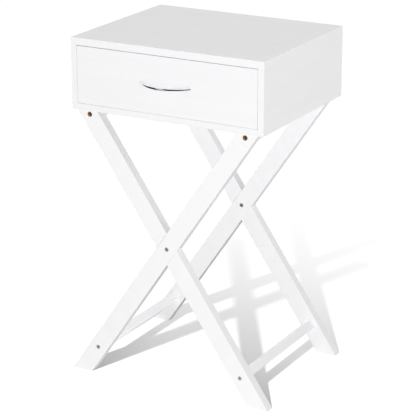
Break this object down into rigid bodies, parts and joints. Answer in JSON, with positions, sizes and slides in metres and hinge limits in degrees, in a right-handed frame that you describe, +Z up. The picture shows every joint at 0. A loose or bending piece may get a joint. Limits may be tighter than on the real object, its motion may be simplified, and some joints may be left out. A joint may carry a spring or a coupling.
{
  "type": "side table",
  "caption": "White side table: a box cabinet with an inset drawer and a chrome bow pull, standing on crossed-leg frames front and back, joined by low stretchers.",
  "frame": {"origin": "bottom centre of the whole table's box, drawer pull included, on the floor", "axes": "+Z is up, the drawer faces -Y, and +X is to the right in a front view"},
  "size_m": [0.4274, 0.351, 0.664],
  "materials": {
    "white_laminate": "white foil on board, fine embossed wood grain, satin",
    "white_painted_wood": "white satin paint on solid wood",
    "drawer_board": "plain white foil on board, matt",
    "white_hardboard": "thin white-faced hardboard, matt",
    "polished_chrome": "polished chrome plate",
    "zinc_screw": "bright zinc plate",
    "bronze_screw": "bronze-coloured plate",
    "cam_alloy": "die-cast alloy, dull",
    "beech_dowel": "raw beech, fluted",
    "runner_enamel": "white baked enamel on folded steel",
    "roller_nylon": "moulded nylon",
    "rivet_steel": "plain steel"
  },
  "bodies": {
    "table": {"top_panel": "white_laminate", "left_side_panel": "white_laminate", "right_side_panel": "white_laminate", "bottom_panel": "white_laminate", "back_panel": "white_hardboard", "carcass_dowels": "beech_dowel", "carcass_cam_bolts": "zinc_screw", "carcass_cam_discs": "cam_alloy", "front_left_leg": "white_painted_wood", "front_right_leg": "white_painted_wood", "back_left_leg": "white_painted_wood", "back_right_leg": "white_painted_wood", "left_top_rail": "white_painted_wood", "right_top_rail": "white_painted_wood", "left_stretcher": "white_painted_wood", "right_stretcher": "white_painted_wood", "cross_screws": "zinc_screw", "leg_top_screws": "bronze_screw", "stretcher_screws": "zinc_screw", "rail_screws": "zinc_screw", "left_cabinet_runner": "runner_enamel", "right_cabinet_runner": "runner_enamel", "front_roller_axles": "rivet_steel", "cabinet_runner_screws": "zinc_screw"},
    "drawer": {"drawer_front": "white_laminate", "drawer_left_side": "drawer_board", "drawer_right_side": "drawer_board", "drawer_back": "drawer_board", "drawer_floor": "white_hardboard", "drawer_pull": "polished_chrome", "pull_screws": "zinc_screw", "drawer_dowels": "beech_dowel", "drawer_cam_bolts": "zinc_screw", "drawer_cam_discs": "cam_alloy", "drawer_back_screws": "zinc_screw", "left_drawer_runner": "runner_enamel", "right_drawer_runner": "runner_enamel", "rear_roller_axles": "rivet_steel", "drawer_runner_screws": "zinc_screw"},
    "left_front_roller": {"left_front_roller": "roller_nylon"},
    "right_front_roller": {"right_front_roller": "roller_nylon"},
    "left_rear_roller": {"left_rear_roller": "roller_nylon"},
    "right_rear_roller": {"right_rear_roller": "roller_nylon"}
  },
  "joints": [
    {"name": "drawer_slide", "type": "slide", "parent": "table", "child": "drawer", "axis": [0, -1, 0], "range_m": [0, 0.19]},
    {"name": "left_front_roller_spin", "type": "hinge", "parent": "table", "child": "left_front_roller", "pos_m": [-0.1832, -0.1245, 0.563], "axis": [1, 0, 0], "continuous": true},
    {"name": "left_rear_roller_spin", "type": "hinge", "parent": "drawer", "child": "left_rear_roller", "pos_m": [-0.1803, 0.106, 0.5628], "axis": [1, 0, 0], "continuous": true},
    {"name": "right_front_roller_spin", "type": "hinge", "parent": "table", "child": "right_front_roller", "pos_m": [0.1832, -0.1245, 0.563], "axis": [1, 0, 0], "continuous": true},
    {"name": "right_rear_roller_spin", "type": "hinge", "parent": "drawer", "child": "right_rear_roller", "pos_m": [0.1803, 0.106, 0.5628], "axis": [1, 0, 0], "continuous": true}
  ],
  "couplings": [
    {"joint": "left_front_roller_spin", "follows": "drawer_slide", "rad_per_m": 133.33},
    {"joint": "left_rear_roller_spin", "follows": "drawer_slide", "rad_per_m": 133.33},
    {"joint": "right_front_roller_spin", "follows": "drawer_slide", "rad_per_m": 133.33},
    {"joint": "right_rear_roller_spin", "follows": "drawer_slide", "rad_per_m": 133.33}
  ]
}
